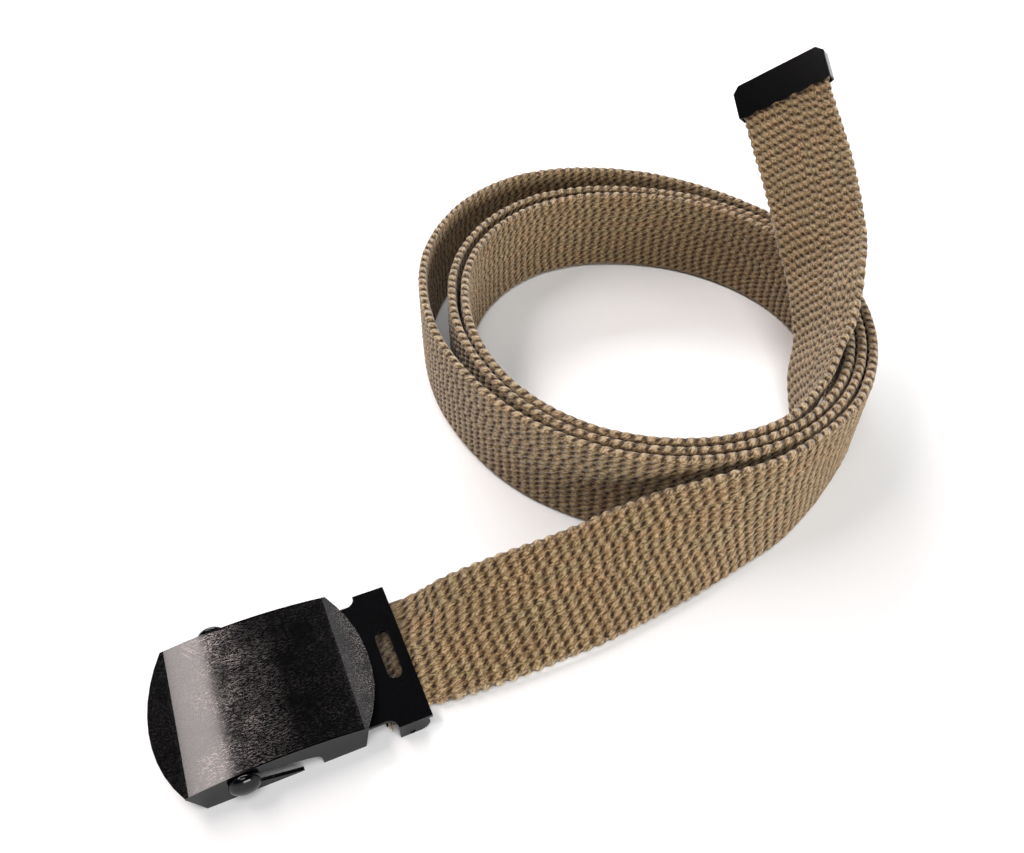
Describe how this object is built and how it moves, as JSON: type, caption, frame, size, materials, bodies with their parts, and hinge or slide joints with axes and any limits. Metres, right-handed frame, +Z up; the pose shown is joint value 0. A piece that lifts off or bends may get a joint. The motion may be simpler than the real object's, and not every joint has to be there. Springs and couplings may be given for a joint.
{
  "type": "canvas web belt",
  "caption": "Coiled cotton web belt with a stamped black roller buckle, a toothed clamp on the fixed end and a folded metal tip on the free end.",
  "frame": {"origin": "bottom centre of the belt's box, on the surface that the coil rests on", "axes": "+X along the buckle from its open end towards the coil, +Z up"},
  "size_m": [0.2644, 0.1868, 0.0812],
  "materials": {
    "canvas": "woven cotton webbing, matt",
    "black_buckle": "glossy black, finely scratched",
    "black_clamp": "satin black",
    "black_tip": "satin black"
  },
  "bodies": {
    "belt": {"webbing": "canvas", "buckle_box": "black_buckle", "clamp_plate": "black_clamp", "clamp_rivet": "black_clamp", "belt_tip": "black_tip"},
    "roller": {"roller": "black_buckle"},
    "jaw": {"clamp_jaw": "black_clamp"}
  },
  "joints": [
    {"name": "roller_slide", "type": "slide", "parent": "belt", "child": "roller", "axis": [0.9703, 0, -0.2419], "range_m": [0, 0.0159]},
    {"name": "jaw_hinge", "type": "hinge", "parent": "belt", "child": "jaw", "pos_m": [-0.07419, -0.07177, 0.001], "axis": [0, -1, 0], "range_deg": [0, 95]}
  ]
}
